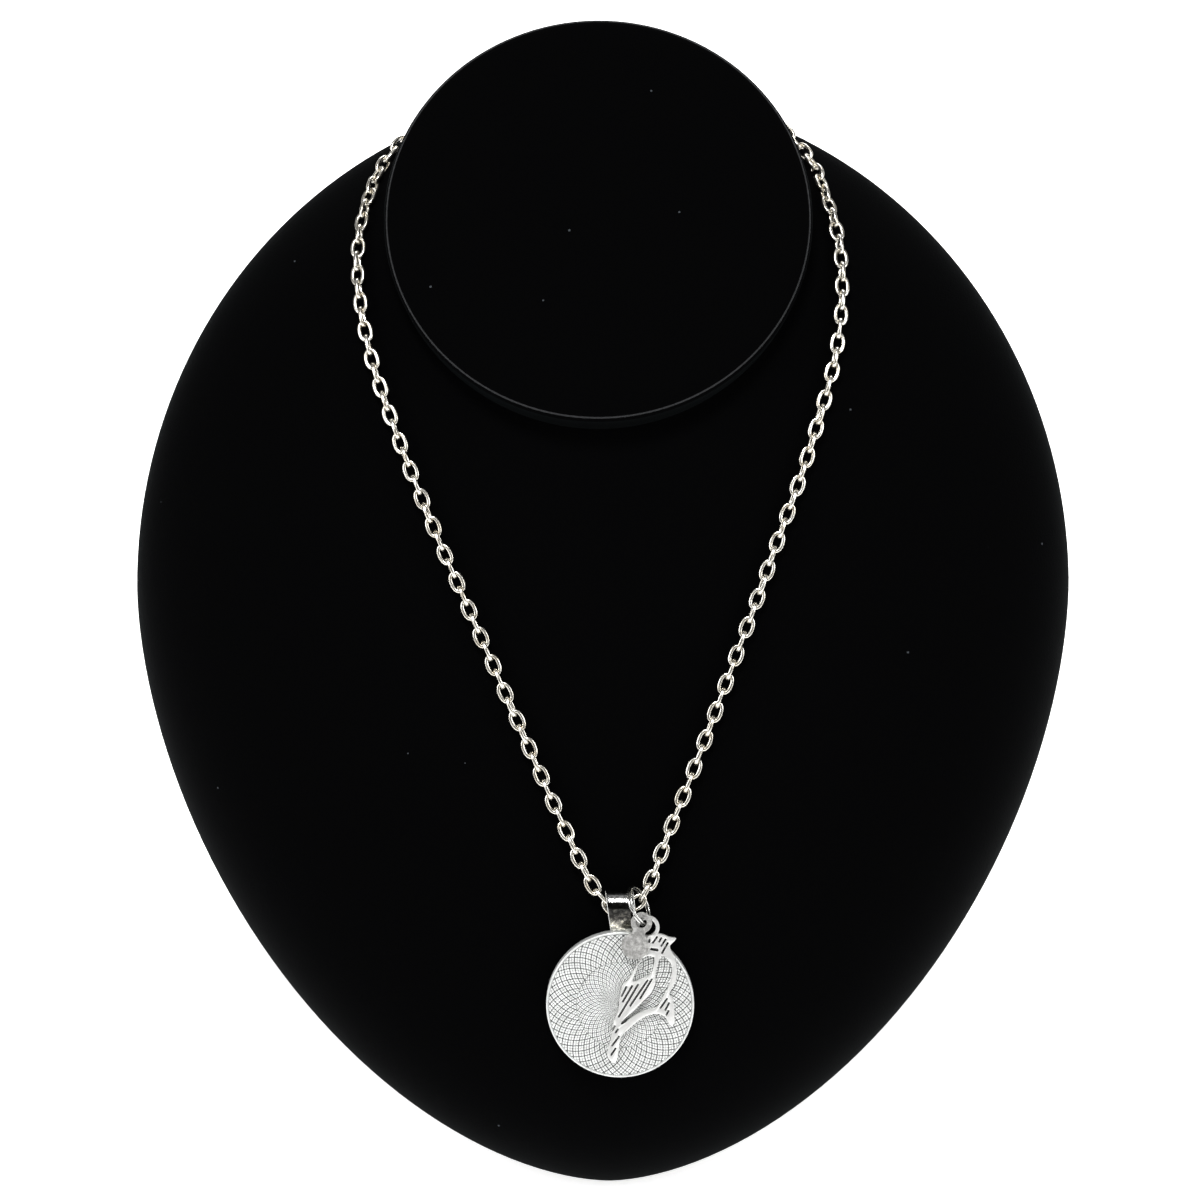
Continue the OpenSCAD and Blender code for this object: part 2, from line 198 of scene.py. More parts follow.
# Materials. Noise scales are per metre, and depths of grain are in metres.
def shader(name, color, roughness, metallic=0.0, **sockets):
    m = bpy.data.materials.new(name)
    m.use_nodes = True
    b = m.node_tree.nodes["Principled BSDF"]
    b.inputs["Base Color"].default_value = (*color, 1)
    b.inputs["Metallic"].default_value = metallic
    b.inputs["Roughness"].default_value = roughness
    for k, v in sockets.items():
        b.inputs[k.replace("_", " ")].default_value = v
    return m


def noise(m, scale, detail, rough=0.5):
    t = m.node_tree
    coords = t.nodes.new("ShaderNodeTexCoord")
    n = t.nodes.new("ShaderNodeTexNoise")
    n.inputs["Scale"].default_value = scale
    n.inputs["Detail"].default_value = detail
    n.inputs["Roughness"].default_value = rough
    t.links.new(coords.outputs["Object"], n.inputs["Vector"])
    return n.outputs["Fac"]


def grain(m, scale, detail, strength, depth, rough=0.5):
    """A fine uneven surface."""
    t = m.node_tree
    b = t.nodes.new("ShaderNodeBump")
    b.inputs["Strength"].default_value = strength
    b.inputs["Distance"].default_value = depth
    t.links.new(noise(m, scale, detail, rough), b.inputs["Height"])
    t.links.new(b.outputs["Normal"], t.nodes["Principled BSDF"].inputs["Normal"])


def ramp(m, source, stops):
    """Colours between the stops, which are pairs of a place from 0 to 1 and a colour."""
    t = m.node_tree
    r = t.nodes.new("ShaderNodeValToRGB")
    ends = r.color_ramp.elements
    ends[0].position, ends[0].color = stops[0][0], (*stops[0][1], 1)
    ends[1].position, ends[1].color = stops[-1][0], (*stops[-1][1], 1)
    for pos, col in stops[1:-1]:
        r.color_ramp.elements.new(pos).color = (*col, 1)
    t.links.new(source, r.inputs["Fac"])
    return r.outputs["Color"]


def color_by(m, output):
    """Lets an output give the base colour."""
    t = m.node_tree
    t.links.new(output, t.nodes["Principled BSDF"].inputs["Base Color"])


def mottle(m, scale, detail, stops, rough=0.5):
    """Lets the base colour wander between the stops."""
    color_by(m, ramp(m, noise(m, scale, detail, rough), stops))


def math_node(m, operation, *values):
    """A Math node on numbers and on outputs of other nodes."""
    t = m.node_tree
    n = t.nodes.new("ShaderNodeMath")
    n.operation = operation
    for socket, value in zip(n.inputs, values):
        if isinstance(value, (int, float)):
            socket.default_value = value
        else:
            t.links.new(value, socket)
    return n.outputs[0]


VELVET_COLOR, LINT_COLOR = (0.0005, 0.0005, 0.0006), (0.04, 0.045, 0.05)
LINT_SCALE, LINT_SIZE, LINT_RARITY = 190, 0.042, 0.9
PILE_SCALE = 2600


def add_lint(m):
    """A few specks of lint on the pile, in the few cells whose random colour is red enough."""
    t = m.node_tree
    coords = t.nodes.new("ShaderNodeTexCoord")
    specks = t.nodes.new("ShaderNodeTexVoronoi")
    specks.inputs["Scale"].default_value = LINT_SCALE
    specks.inputs["Randomness"].default_value = 1
    t.links.new(coords.outputs["Object"], specks.inputs["Vector"])
    split = t.nodes.new("ShaderNodeSeparateColor")
    t.links.new(specks.outputs["Color"], split.inputs["Color"])
    near = math_node(m, "LESS_THAN", specks.outputs["Distance"], LINT_SIZE)
    rare = math_node(m, "GREATER_THAN", split.outputs["Red"], LINT_RARITY)
    both = math_node(m, "MULTIPLY", near, rare)
    color_by(m, ramp(m, both, [(0, VELVET_COLOR), (1, LINT_COLOR)]))


velvet = shader("velvet", VELVET_COLOR, roughness=0.95, Sheen_Weight=0.008, Sheen_Roughness=0.35,
                Sheen_Tint=(0.55, 0.75, 0.8, 1), Specular_IOR_Level=0.02)
grain(velvet, PILE_SCALE, detail=2, strength=0.5, depth=0.0002)
add_lint(velvet)

velvet_edge = shader("velvet_edge", (0.004, 0.0045, 0.0055), roughness=0.9, Sheen_Weight=0.12,
                     Sheen_Roughness=0.4, Sheen_Tint=(0.7, 0.8, 0.85, 1))
grain(velvet_edge, PILE_SCALE, detail=2, strength=0.5, depth=0.0002)

chain_metal = shader("chain_metal", (0.72, 0.69, 0.62), metallic=1, roughness=0.27)
mottle(chain_metal, 420, 2,
       [(0.35, (0.64, 0.59, 0.5)), (0.5, (0.74, 0.71, 0.64)), (0.7, (0.8, 0.78, 0.72))])
grain(chain_metal, 700, detail=2, strength=0.03, depth=0.00005)

disc_metal = shader("disc_metal", (0.86, 0.87, 0.86), metallic=0.45, roughness=0.4)
mottle(disc_metal, 700, 3,
       [(0.3, (0.6, 0.61, 0.6)), (0.5, (0.69, 0.7, 0.69)), (0.72, (0.77, 0.78, 0.77))], rough=0.6)
grain(disc_metal, 3200, detail=2, strength=0.15, depth=0.00005)

# The dark groove metal and the less dark faint metal are painted shade in the weave's shallow grooves
groove_metal = shader("groove_metal", (0.045, 0.047, 0.046), metallic=0.4, roughness=0.6)
faint_metal = shader("faint_metal", (0.16, 0.165, 0.16), metallic=0.4, roughness=0.6)
for metal in (groove_metal, faint_metal):
    grain(metal, 3000, detail=2, strength=0.2, depth=0.00005)

# The bail's strip has light painted into its colour in bands up its height: painted shade at its very foot, a
# lighter painted reflection above it, a dark painted reflection in the middle, a painted highlight along its
# bend and a grey painted reflection above; a random tarnish mottles all of it
BAIL_LOW_V, BAIL_HIGH_V = -66, -58
DARK, DIM, GREY_REFLECTION, LIGHT = (0.05, 0.05, 0.048), (0.16, 0.155, 0.14), (0.33, 0.33, 0.32), (0.95, 0.95, 0.94)
# Painted shade, painted reflections and a painted highlight, from the strip's foot (0) to its top (1)
BAIL_PAINTED_LIGHT = [
    (0.0, DARK), (0.06, GREY_REFLECTION), (0.2, (0.4, 0.39, 0.34)), (0.34, DIM),
    (0.4, (0.035, 0.034, 0.032)), (0.7, (0.025, 0.025, 0.024)), (0.762, DARK),
    (0.775, LIGHT), (0.795, LIGHT),
    (0.815, (0.75, 0.75, 0.73)), (0.96, LIGHT), (1.0, GREY_REFLECTION)]
TARNISH = [(0.4, (0.2, 0.2, 0.19)), (0.54, (1, 1, 1)), (0.62, (2.6, 2.5, 2.3))]
TARNISH_SHARE = 0.8
BAND_WAVER = 0.08
# A Mix node's colour sockets share their names with its other ones, so they go by number
MIX_A, MIX_B, MIX_RESULT = 6, 7, 2


def along_chest(m, low, high):
    """0 to 1 between two heights v in mm along the chest, a little uneven."""
    t = m.node_tree
    coords = t.nodes.new("ShaderNodeTexCoord")
    dot = t.nodes.new("ShaderNodeVectorMath")
    dot.operation = "DOT_PRODUCT"
    axis = CHEST_ROT[:, 1]
    dot.inputs[1].default_value = axis
    t.links.new(coords.outputs["Object"], dot.inputs[0])
    at_low = -(low + float(axis @ CHEST_AT)) / (high - low)
    even = math_node(m, "MULTIPLY_ADD", dot.outputs["Value"], 1 / (MM * (high - low)), at_low)
    return math_node(m, "MULTIPLY_ADD", noise(m, 420, 3, 0.6), BAND_WAVER, even)


# Paints the bail's reflections, highlight and shade in bands up the chest, mottled by the random tarnish
def paint_bail_light(m):
    mix = m.node_tree.nodes.new("ShaderNodeMix")
    mix.data_type, mix.blend_type = "RGBA", "MULTIPLY"
    mix.inputs["Factor"].default_value = TARNISH_SHARE
    bands = ramp(m, along_chest(m, BAIL_LOW_V, BAIL_HIGH_V), BAIL_PAINTED_LIGHT)
    m.node_tree.links.new(bands, mix.inputs[MIX_A])
    m.node_tree.links.new(ramp(m, noise(m, 1500, 4, 0.7), TARNISH), mix.inputs[MIX_B])
    color_by(m, mix.outputs[MIX_RESULT])


bail_metal = shader("bail_metal", (0.82, 0.82, 0.8), metallic=1, roughness=0.18)
grain(bail_metal, 900, detail=3, strength=0.12, depth=0.0001)
paint_bail_light(bail_metal)

bail_edge = shader("bail_edge", (0.62, 0.62, 0.6), metallic=0.4, roughness=0.35)
grain(bail_edge, 900, detail=2, strength=0.1, depth=0.00008)

ring_metal = shader("ring_metal", (0.5, 0.5, 0.485), metallic=1, roughness=0.2)
grain(ring_metal, 1500, detail=2, strength=0.08, depth=0.00005)

FROST = (0.28, 0.277, 0.268)
frosted = shader("frosted", FROST, metallic=0.4, roughness=0.5)
mottle(frosted, 1100, 5,
       [(0.36, (0.17, 0.168, 0.162)), (0.5, FROST), (0.62, (0.47, 0.465, 0.45))], rough=0.75)
grain(frosted, 1600, detail=4, strength=0.5, depth=0.0001, rough=0.8)

cast_metal = shader("cast_metal", (0.93, 0.93, 0.91), metallic=0.7, roughness=0.32)
grain(cast_metal, 1100, detail=3, strength=0.25, depth=0.00015)
# The near-black slot material is painted shade on the bird's slot walls and on its rear
recess = shader("recess", (0.006, 0.006, 0.006), roughness=0.9, Specular_IOR_Level=0.1)
grain(recess, 2600, detail=2, strength=0.2, depth=0.00005)

# Velvet bust. The hem's rows are pairs of a height and a size of the outline.
SIDES = 192
ANGLES = circle_angles(SIDES)
CHEST_RINGS, FIRST_RING, RING_CROWDING = 46, 0.03, 1.9
HEM = [(-1.5, 0.999), (-3, 0.996), (-4.5, 0.991), (-6, 0.985)]
NECK_SIDES, NECK_STEPS, NECK_EDGE_R = 128, 8, 1.6
NECK_FACE_RINGS = (36, 30, 22, 14, 7, 2)


def chest_shell(b):
    """The bulging front, its hem and a flat rear, with rings that crowd towards the outline."""
    sizes = 1 - (1 - np.linspace(FIRST_RING, 1, CHEST_RINGS)) ** RING_CROWDING
    sizes[-1] = 1
    base = outline(ANGLES)
    rows = []
    for size in sizes:
        p = base * size
        rows.append(np.column_stack([p, chest_height(p[:, 0], p[:, 1]) if size < 1 else np.zeros(SIDES)]))
    for height, size in HEM:
        rows.append(np.column_stack([base * size, np.full(SIDES, height)]))
    verts = np.concatenate(rows)
    faces = grid_faces(len(rows), SIDES)
    top = len(verts)
    verts = np.vstack([verts, [[0, 0, CHEST_BULGE]]])
    faces += [(top, (j + 1) % SIDES, j) for j in range(SIDES)]
    faces.append(row_face(len(rows) - 1, SIDES))
    b.add(verts, [f[::-1] for f in faces])


def neck_shell(b):
    """The tapered neck with its rounded edge and flat face."""
    profile = [(NECK_REAR_R, NECK_LEN)]
    for k in range(1, NECK_STEPS + 1):
        d = NECK_LEN + (NECK_EDGE_R - NECK_LEN) * k / NECK_STEPS
        profile.append((NECK_REAR_R + (NECK_R - NECK_REAR_R) * (1 - d / NECK_LEN), d))
    for q in np.radians([15, 30, 45, 60, 75, 90]):
        r = NECK_R - NECK_EDGE_R + NECK_EDGE_R * math.cos(q)
        profile.append((r, NECK_EDGE_R - NECK_EDGE_R * math.sin(q)))
    profile += [(r, 0) for r in NECK_FACE_RINGS]
    rows = [neck_point(np.full(NECK_SIDES, r), circle_angles(NECK_SIDES), d) for r, d in profile]
    faces = grid_faces(len(rows), NECK_SIDES)
    faces.append(row_face(0, NECK_SIDES)[::-1])
    faces.append(row_face(len(rows) - 1, NECK_SIDES))
    b.add(np.concatenate(rows), faces)


BACK_HALF_W, BACK_Y, BACK_H = 65, 69.4, 165
REAR_SIZE, REAR_HEIGHT = 0.965, -2.6
FOOT_SIZE, FOOT_REAR_Y = 0.955, 60
NECK_SUNK, NECK_RIM_SIDES = 2, 96
BELOW_FLOOR = -1e-6
FLAT_HULL_DEG = 0.5


def back_hull():
    """Closed back between the chest's rear, the neck's rear end, the flat back and the foot."""
    pts = [(*p, REAR_HEIGHT) for p in outline(ANGLES) * REAR_SIZE]
    rim_r = np.full(NECK_RIM_SIDES, NECK_REAR_R - NECK_SUNK)
    pts += list(neck_point(rim_r, circle_angles(NECK_RIM_SIDES), NECK_LEN - NECK_SUNK))
    pts = list(world(pts))
    for q in np.radians(np.arange(0, 181, 3)):
        pts.append(np.array([BACK_HALF_W * math.cos(q), BACK_Y, BACK_H * math.sin(q)]) * MM)
    for p in outline(np.radians(np.arange(180, 361, 3))) * FOOT_SIZE:
        y = CHEST_AT[1] + (p[1] + math.cos(LEAN) * CHEST_AT[2]) / math.sin(LEAN)
        if y < FOOT_REAR_Y:
            pts.append(np.array([p[0], y, 0]) * MM)
    bm = bmesh.new()
    verts = [bm.verts.new(tuple(map(float, p))) for p in pts if p[2] >= BELOW_FLOOR]
    out = bmesh.ops.convex_hull(bm, input=verts)
    loose = {g for g in out["geom_interior"] + out["geom_unused"] if isinstance(g, bmesh.types.BMVert)}
    bmesh.ops.delete(bm, geom=list(loose), context="VERTS")
    bmesh.ops.dissolve_limit(bm, angle_limit=math.radians(FLAT_HULL_DEG), verts=bm.verts, edges=bm.edges)
    bmesh.ops.recalc_face_normals(bm, faces=bm.faces)
    me = bpy.data.meshes.new("bust_back")
    bm.to_mesh(me)
    bm.free()
    me.materials.append(velvet)
    for p in me.polygons:
        p.use_smooth = False
    return new_object("bust_back", me)


EDGE_R, EDGE_DEPTH, EDGE_WIRE_R = NECK_R - 0.75, 0.62, 0.35
EDGE_STEPS, EDGE_SIDES = 160, 8


def raised_edge(b):
    """The raised edge round the neck's flat face."""
    rows = []
    for q in circle_angles(EDGE_SIDES):
        r = np.full(EDGE_STEPS, EDGE_R + EDGE_WIRE_R * math.cos(q))
        rows.append(neck_point(r, circle_angles(EDGE_STEPS), EDGE_DEPTH - EDGE_WIRE_R * math.sin(q)))
    b.add(np.concatenate(rows), grid_faces(EDGE_SIDES, EDGE_STEPS, wrap_rows=True))


bust_chest = built("bust_chest", chest_shell, [velvet])
bust_neck = built("bust_neck", neck_shell, [velvet])
bust_back = back_hull()
bust_edge = built("bust_edge", raised_edge, [velvet_edge])
for piece in (bust_chest, bust_neck, bust_back, bust_edge):
    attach(piece, "root")
    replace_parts(piece, "neck_bust")

# Chain. The routes are places (u, v) on the chest, from the bail up to the shoulders.
LINK_LEN, LINK_W, CHAIN_LIFT, BAIL_EXTRA = 4.35, 2.9, 1.65, 1.3
ROUTE_LEFT = [
    (0.64, -60.88), (-2.67, -56.88), (-7.2, -47.5), (-12.6, -35), (-18.9, -20), (-25.1, -5.3), (-31.3, 9.6),
    (-36, 21.6), (-40, 32.8), (-43.3, 43.4), (-45.3, 54), (-45.7, 64), (-43.9, 73.6)]
ROUTE_RIGHT = [
    (5.39, -60.44), (8.06, -56.72), (12, -46.6), (16.8, -35), (22.6, -20), (28.3, -5.3), (33.8, 9.6),
    (37.9, 20.6), (41.5, 31.6), (44.4, 42), (45.9, 52.6), (45.8, 62.6), (43.8, 71.9)]
BAIL_MID = (1.35, -61.37)
SHOULDER_LEFT, SHOULDER_RIGHT = (-39.4, 82.8, 10), (39.7, 81.8, 10.6)
NECK_DEG_LEFT, NECK_DEG_RIGHT = range(76, 133, 14), range(48, 105, 14)
BACK_DEPTH, BACK_SLACK = 14.5, 0.75
NECK_WALL_R = NECK_R - (NECK_R - NECK_REAR_R) * BACK_DEPTH / NECK_LEN
CLASP_ROOM = 9.05
LINK_PITCH = 2.86


def round_neck(deg):
    a = math.radians(deg)
    r = NECK_WALL_R + CHAIN_LIFT + BACK_SLACK
    return NECK_AT - BACK_DEPTH * NECK_OUT + r * (math.cos(a) * X + math.sin(a) * NECK_UP)


def lifted(p, extra):
    return np.array([p[0], p[1], height_at(p[0], p[1]) + CHAIN_LIFT + extra])


def side_points(route):
    """A route over the chest, lifted more where it nears the bail."""
    return [lifted(p, BAIL_EXTRA * np.interp(i, [0, 3], [1, 0])) for i, p in enumerate(route)]


route = [round_neck(a) for a in NECK_DEG_LEFT] + [np.array(SHOULDER_LEFT, float)]
route += side_points(ROUTE_LEFT)[::-1] + [lifted(BAIL_MID, BAIL_EXTRA)] + side_points(ROUTE_RIGHT)
route += [np.array(SHOULDER_RIGHT, float)] + [round_neck(a) for a in NECK_DEG_RIGHT]


def curve_at(p, t):
    """A smooth curve through the middle two of four points."""
    return 0.5 * (2 * p[1] + (p[2] - p[0]) * t + (2 * p[0] - 5 * p[1] + 4 * p[2] - p[3]) * t * t
                  + (3 * p[1] - p[0] - 3 * p[2] + p[3]) * t ** 3)


CURVE_STEPS = 12
path = [curve_at(route[i - 1:i + 3], s / CURVE_STEPS)
        for i in range(1, len(route) - 2) for s in range(CURVE_STEPS)]
path = np.array(path + [route[-2]])
path_s = np.concatenate([[0], np.cumsum(np.linalg.norm(np.diff(path, axis=0), axis=1))])
path_len = path_s[-1]


def path_at(s):
    return np.array([np.interp(s % path_len, path_s, path[:, k]) for k in range(3)])


SLOPE_STEP = 0.5
NECK_BELOW, CHEST_ABOVE = 2, 18


def out_of(p):
    """The way out of the surface under the chain, the neck's where it lies low and the chest's elsewhere."""
    neck = unit(p - NECK_AT - NECK_OUT * np.dot(p - NECK_AT, NECK_OUT))
    u, v, e = p[0], p[1], SLOPE_STEP
    fall_u = height_at(u - e, v) - height_at(u + e, v)
    fall_v = height_at(u, v - e) - height_at(u, v + e)
    chest = unit(np.array([fall_u, fall_v, 2 * e]))
    t = np.interp(p[2], [NECK_BELOW, CHEST_ABOVE], [0, 1])
    return unit(t * chest + (1 - t) * neck)


# Where the chain bends in the bail, its links crowd together by a part of a space in all.
# The marked link lies face-on at the route's second point left of the bail.
CROWDED, SQUEEZED = 6, 0.52
MARK_MARGIN = 1.9
spaces = 2 * math.floor((path_len - CLASP_ROOM) / LINK_PITCH / 2) + 1
links = spaces + 2
pitch = (path_len - CLASP_ROOM) / (spaces + 1 - SQUEEZED)
marked_point = len(NECK_DEG_LEFT) + len(ROUTE_LEFT) - 1
marked_s = path_s[(marked_point - 1) * CURVE_STEPS]
marked_link = 2 * math.floor((marked_s / pitch - MARK_MARGIN) / 2) + 1
first_s = marked_s - marked_link * pitch
crowd_from = marked_link + 1
left_links = crowd_from + CROWDED // 2


def link_s(i):
    return first_s + pitch * (i - SQUEEZED * max(0, min(CROWDED, i - crowd_from)) / CROWDED)


CHORD_HALF = 0.6


def along_chain(s):
    """A place on the path and its axes: along it, across it and out of the surface."""
    p = path_at(s)
    x = unit(path_at(s + CHORD_HALF) - path_at(s - CHORD_HALF))
    y = unit(np.cross(out_of(p), x))
    return p, np.column_stack([x, y, np.cross(x, y)])


LINK_WIRE, LINK_FLAT, LINK_STEPS, WIRE_SIDES = 0.72, 0.74, 40, 12
LINK_FULLNESS, WIRE_SQUARENESS = 2.3, 0.72


def oval_link():
    """A flattened oval wire link, x along it and z out of its face."""
    a = (np.arange(LINK_STEPS) + 0.5) * 2 * math.pi / LINK_STEPS
    half_len, half_w, p = (LINK_LEN - LINK_WIRE) / 2, (LINK_W - LINK_WIRE) / 2, 2 / LINK_FULLNESS
    line = np.column_stack([half_len * signed_pow(np.cos(a), p), half_w * signed_pow(np.sin(a), p)])
    tangent = np.roll(line, -1, 0) - np.roll(line, 1, 0)
    tangent /= np.linalg.norm(tangent, axis=1)[:, None]
    out = np.column_stack([tangent[:, 1], -tangent[:, 0]])
    q = circle_angles(WIRE_SIDES)
    off = LINK_WIRE / 2 * signed_pow(np.cos(q), WIRE_SQUARENESS)
    up = LINK_FLAT / 2 * signed_pow(np.sin(q), WIRE_SQUARENESS)
    rows = [np.column_stack([line + out * o, np.full(LINK_STEPS, u)]) for o, u in zip(off, up)]
    return np.concatenate(rows), grid_faces(WIRE_SIDES, LINK_STEPS, wrap_rows=True)


link_verts, link_faces = oval_link()
# Each link is turned a quarter more than the last, and all but the links at the clasp hang a little uneven
TWIST_DEG, SWING_DEG, STEADY_LINKS = 7, 1.5, 3


def chain(name, first, last):
    b = Build()
    for i in range(first, last + 1):
        p, m = along_chain(link_s(i))
        loose = min(1.0, min(i, links - 1 - i) / STEADY_LINKS)
        twist, swing = loose * rng.normal(0, TWIST_DEG), loose * rng.normal(0, SWING_DEG)
        m = m @ turn_x(90 + 90 * i + twist) @ turn_z(swing)
        b.add(link_verts @ m.T + p, link_faces)
    ob = b.object(name, [chain_metal])
    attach(ob, "root")
    return ob


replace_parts(chain("chain_links_left", 0, left_links - 1), "chain_left")
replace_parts(chain("chain_links_right", left_links, links - 1), "chain_right")

# Pendant, in its own frame: x to the right, y up the disc and z out of its engine turned face
DISC_AT = np.array([2.2, -79.6, 33.4])
PEND_ROT = turn_x(8.5)
DISC_R, DISC_T, TRAY_R, TRAY_DEPTH, DISC_SIDES = 13.95, 2.6, 12.5, 1.2, 180
FACE_R, SEAM_R = DISC_R - 0.45, 0.588 * DISC_R
OUTER_D, OUTER_CIRCLES, INNER_D, INNER_CIRCLES = 1.22 * DISC_R, 102, 0.79 * DISC_R, 84
SEAM_GAP, MIDDLE_R = 0.04, 0.35
TRAY_Z = -DISC_T + TRAY_DEPTH


def on_pendant(p):
    return np.asarray(p, float) @ PEND_ROT.T + DISC_AT


def lathe(b, profile):
    a = circle_angles(DISC_SIDES)
    rows = [np.column_stack([r * np.cos(a), r * np.sin(a), np.full(DISC_SIDES, z)]) for r, z in profile]
    b.add(on_pendant(np.concatenate(rows)), grid_faces(len(rows), DISC_SIDES, wrap_rows=True))


# A pad is a grid of 5 by 5 points, raised inside its four edges, where the grooves lie.
# A groove's half width is in mm, and at most a part of a pad.
PAD_Z, GROOVE_Z, PAD_CROWN = 0.2, 0.1, 0.01
GROOVE_HALF, GROOVE_MOST, FAINT_HALF, FAINT_MOST = 0.08, 0.16, 0.05, 0.08
PAD_LEAST = 0.02
PAD_CELLS = [(x, y) for x in range(4) for y in range(4)]
PAD_FACES = [(x * 5 + y + 1, (x + 1) * 5 + y + 1, (x + 1) * 5 + y, x * 5 + y) for x, y in PAD_CELLS]
PAD_HEIGHTS = np.full((5, 5), PAD_Z - PAD_CROWN)
PAD_HEIGHTS[[0, 4], :] = GROOVE_Z
PAD_HEIGHTS[:, [0, 4]] = GROOVE_Z
PAD_HEIGHTS[2, 2] = PAD_Z
METAL, GROOVE, FAINT = 0, 1, 2


def pad_lines(low, high):
    """Where a pad's edges lie between two circles, as parts of their spacing."""
    return np.array([0, low, 0.5, 1 - high, 1])


def weave(b, d, n, r_out, r_in):
    """Pads between crossing circles of diameter d through the middle, n of them, every second one faint."""
    first = int(n / math.pi * math.acos(min(1, r_out / d)))
    last = int(math.ceil(n / math.pi * math.acos(r_in / d)))
    for j in range(first, last + 1):
        r_mid = d * math.cos(math.pi * j / n)
        if r_mid <= r_in * 0.5:
            continue
        spacing = 2 * math.pi * r_mid * math.sqrt(max(0.01, d * d - r_mid * r_mid)) / (n * d)
        strong, faint = min(GROOVE_MOST, GROOVE_HALF / spacing), min(FAINT_MOST, FAINT_HALF / spacing)
        for c in range(n):
            a_strong, b_strong = c % 2 == 0, (c + j) % 2 == 0
            line_a = pad_lines(strong, faint) if a_strong else pad_lines(faint, strong)
            line_b = pad_lines(strong, faint) if b_strong else pad_lines(faint, strong)
            pa, pb = np.meshgrid(line_a, line_b, indexing="ij")
            q = j + pb - pa
            r = np.clip(d * np.cos(np.pi * np.clip(q, 0, n / 2) / n), r_in, r_out)
            if r.max() - r.min() < PAD_LEAST:
                break
            theta = (2 * c + j + pa + pb - 1) * math.pi / n
            verts = np.stack([r * np.cos(theta), r * np.sin(theta), PAD_HEIGHTS], -1).reshape(-1, 3)
            strong_x, strong_y = 0 if a_strong else 3, 0 if b_strong else 3
            # Groove and faint faces take the painted shade
            mats = [GROOVE if x == strong_x or y == strong_y
                    else FAINT if x in (0, 3) or y in (0, 3) else METAL for x, y in PAD_CELLS]
            b.add(on_pendant(verts), PAD_FACES, mats)


def tray_and_weave(b):
    lathe(b, [
        (DISC_R - 0.12, -DISC_T), (DISC_R, -DISC_T + 0.12), (DISC_R, -0.1), (DISC_R - 0.04, 0.06),
        (DISC_R - 0.14, 0.14), (DISC_R - 0.3, 0.14), (FACE_R + 0.02, 0.03), (FACE_R - 0.2, 0.02), (6, 0.02),
        (0.01, 0.02), (0.01, TRAY_Z), (TRAY_R - 0.1, TRAY_Z), (TRAY_R, TRAY_Z - 0.1),
        (TRAY_R, -DISC_T + 0.12), (TRAY_R + 0.12, -DISC_T)])
    weave(b, OUTER_D, OUTER_CIRCLES, FACE_R - 0.03, SEAM_R + SEAM_GAP)
    weave(b, INNER_D, INNER_CIRCLES, SEAM_R - SEAM_GAP, MIDDLE_R)


# Folded strip bail. Its top and foot are places (y, z) on the pendant.
BAIL_W, BAIL_T, BAIL_R, BAIL_LEAN, BAIL_BEVEL = 5.3, 0.5, 2.72, 1.0, 0.12
BAIL_TOP, BAIL_FOOT, BAIL_FOOT_X = np.array([18.85, -1.5]), np.array([13.45, -1.3]), 1.1
FRONT_START, REAR_END = BAIL_FOOT + np.array([0, 0.12]), BAIL_FOOT - np.array([0, 0.3])
LEAF_STEPS, BEND_STEPS = 12, 40
BAIL_SLANT = -BAIL_LEAN / (BAIL_TOP[0] + BAIL_R - BAIL_FOOT[0])


def bail_line():
    """Middle line of the strip, as (y, z), up the front leaf, over the top and down the rear one."""
    r = BAIL_R - BAIL_T / 2
    down = BAIL_FOOT - BAIL_TOP
    middle, spread = math.atan2(down[1], down[0]), math.acos(r / np.linalg.norm(down))
    arc = np.linspace(middle - spread, middle + spread - 2 * math.pi, BEND_STEPS)
    bend = [BAIL_TOP + r * np.array([math.cos(a), math.sin(a)]) for a in arc]
    leaf = np.linspace(0, 1, LEAF_STEPS)
    front = [FRONT_START + (bend[0] - FRONT_START) * t for t in leaf[:-1]]
    rear = [bend[-1] + (REAR_END - bend[-1]) * t for t in leaf[1:]]
    return np.array(front + bend + rear)


def bail(b):
    line = bail_line()
    tangent = np.gradient(line, axis=0)
    tangent /= np.linalg.norm(tangent, axis=1)[:, None]
    normal = np.column_stack([-tangent[:, 1], tangent[:, 0]])
    hw, ht, bev = BAIL_W / 2, BAIL_T / 2, BAIL_BEVEL
    section = [
        (-hw + bev, ht), (-1.5, ht), (0, ht), (1.5, ht), (hw - bev, ht), (hw - 0.03, ht - 0.05),
        (hw, ht - bev), (hw, -ht + bev), (hw - bev, -ht), (0, -ht), (-hw + bev, -ht), (-hw, -ht + bev),
        (-hw, ht - bev), (-hw + 0.03, ht - 0.05)]
    rows = []
    for p, n in zip(line, normal):
        for x, o in section:
            y, z = p + n * o
            rows.append((x + BAIL_FOOT_X + (y - BAIL_FOOT[0]) * BAIL_SLANT, y, z))
    m = len(section)
    faces = grid_faces(len(line), m)
    bevels = (4, 5, m - 2, m - 1)
    mats = [1 if k % m in bevels else 0 for k in range(len(faces))] + [0, 0]
    faces.append(row_face(0, m))
    faces.append(row_face(len(line) - 1, m)[::-1])
    b.add(on_pendant(np.array(rows)), faces, mats)


disc = built("pendant_disc", tray_and_weave, [disc_metal, groove_metal, faint_metal])
bail_piece = built("pendant_bail", bail, [bail_metal, bail_edge])
for piece in (disc, bail_piece):
    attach(piece, "root")
    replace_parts(piece, "pendant")

